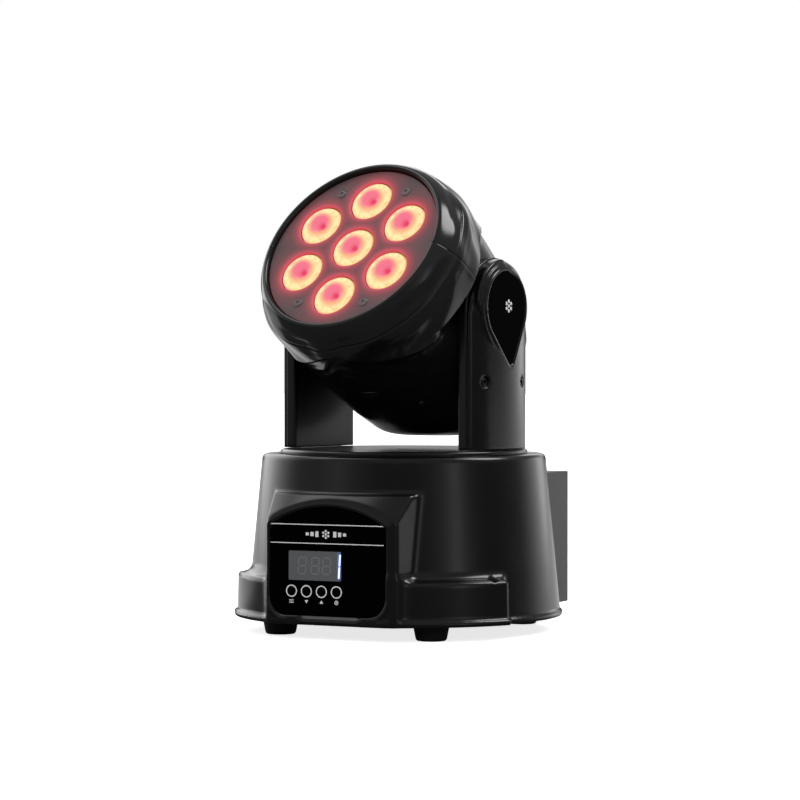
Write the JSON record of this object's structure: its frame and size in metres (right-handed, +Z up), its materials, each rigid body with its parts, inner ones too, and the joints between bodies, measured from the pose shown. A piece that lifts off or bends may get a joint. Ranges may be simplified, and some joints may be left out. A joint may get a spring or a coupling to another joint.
{
  "type": "moving head light",
  "caption": "Moving head wash light: a round base with a control console, a yoke that pans on it, and a lensed head that tilts between the yoke's arms.",
  "frame": {"origin": "on the floor, on the pan axis: the centre of the object's footprint", "axes": "+Z up along the pan axis, -Y out of the control console, +X to the right seen from the front"},
  "size_m": [0.1764, 0.1796, 0.2567],
  "materials": {
    "black_shell": "satin moulded black plastic",
    "gloss_black": "gloss",
    "face_grey": "fine matte texture",
    "rubber": "matte",
    "painted_steel": "satin black powder coat",
    "steel": "zinc plated",
    "aluminium": "machined",
    "circuit": "solder mask green",
    "lens": "clear moulded lens, lit from behind",
    "display": "smoked window",
    "dark_plastic": "moulded",
    "motor": "black"
  },
  "bodies": {
    "base": {"base_housing": "black_shell", "bottom_plate": "painted_steel", "foot_front_left": "rubber", "foot_front_right": "rubber", "foot_rear_left": "rubber", "foot_rear_right": "rubber", "rear_connector_box": "painted_steel", "mains_inlet": "dark_plastic", "fuse_holder": "dark_plastic", "dmx_in_socket": "dark_plastic", "dmx_out_socket": "dark_plastic", "control_fascia": "gloss_black", "display_module": "display", "control_board": "circuit", "power_supply_board": "circuit", "pan_mount_plate": "steel", "pan_bearing": "steel", "pan_motor": "motor", "pan_belt": "rubber"},
    "menu_button": {"button_menu": "gloss_black"},
    "down_button": {"button_down": "gloss_black"},
    "up_button": {"button_up": "gloss_black"},
    "enter_button": {"button_enter": "gloss_black"},
    "pan_pinion": {"pan_motor_pulley": "aluminium"},
    "yoke": {"yoke_base_plate": "painted_steel", "turntable_cover": "black_shell", "pan_shaft": "steel", "pan_pulley": "aluminium", "arm_right_inner_cover": "black_shell", "arm_right_outer_cover": "black_shell", "arm_right_badge": "gloss_black", "arm_right_bracket": "steel", "tilt_axle_right": "steel", "arm_left_inner_cover": "black_shell", "arm_left_outer_cover": "black_shell", "arm_left_badge": "gloss_black", "arm_left_bracket": "steel", "tilt_axle_left": "steel", "tilt_fixed_pulley": "aluminium"},
    "head": {"head_shell_upper": "black_shell", "head_shell_lower": "black_shell", "face_plate": "face_grey", "lens_1": "lens", "lens_2": "lens", "lens_3": "lens", "lens_4": "lens", "lens_5": "lens", "lens_6": "lens", "lens_7": "lens", "led_board": "circuit", "heat_sink": "aluminium", "fan_frame": "dark_plastic", "tilt_motor": "motor", "tilt_belt": "rubber", "tilt_bearing_right": "steel", "tilt_bearing_left": "steel"},
    "tilt_pinion": {"tilt_motor_pulley": "aluminium"},
    "fan": {"fan_rotor": "dark_plastic"}
  },
  "joints": [
    {"name": "pan", "type": "hinge", "parent": "base", "child": "yoke", "pos_m": [0, 0, 0.1], "axis": [0, 0, 1], "range_deg": [-263, 277]},
    {"name": "tilt", "type": "hinge", "parent": "yoke", "child": "head", "pos_m": [0, 0, 0.1752], "axis": [-0.9925, 0.1219, 0], "range_deg": [-34.5, 145.5]},
    {"name": "pan_motor_spin", "type": "hinge", "parent": "base", "child": "pan_pinion", "pos_m": [-0.0415, 0.024, 0.085], "axis": [0, 0, 1], "range_deg": [-1172, 1235]},
    {"name": "tilt_motor_spin", "type": "hinge", "parent": "head", "child": "tilt_pinion", "pos_m": [-0.00136, -0.01109, 0.15012], "axis": [-0.9925, 0.1219, 0], "range_deg": [-440, 105]},
    {"name": "fan_spin", "type": "hinge", "parent": "head", "child": "fan", "pos_m": [0, 0, 0.1752], "axis": [-0.1004, -0.818, 0.5664], "continuous": true},
    {"name": "menu_press", "type": "slide", "parent": "base", "child": "menu_button", "axis": [0, 1, 0], "range_m": [0, 0.0005], "stiffness_N_per_m": 1200},
    {"name": "down_press", "type": "slide", "parent": "base", "child": "down_button", "axis": [0, 1, 0], "range_m": [0, 0.0005], "stiffness_N_per_m": 1200},
    {"name": "up_press", "type": "slide", "parent": "base", "child": "up_button", "axis": [0, 1, 0], "range_m": [0, 0.0005], "stiffness_N_per_m": 1200},
    {"name": "enter_press", "type": "slide", "parent": "base", "child": "enter_button", "axis": [0, 1, 0], "range_m": [0, 0.0005], "stiffness_N_per_m": 1200}
  ],
  "couplings": [
    {"joint": "pan_motor_spin", "follows": "pan", "ratio": 4.4532},
    {"joint": "tilt_motor_spin", "follows": "tilt", "ratio": -3.0168}
  ]
}
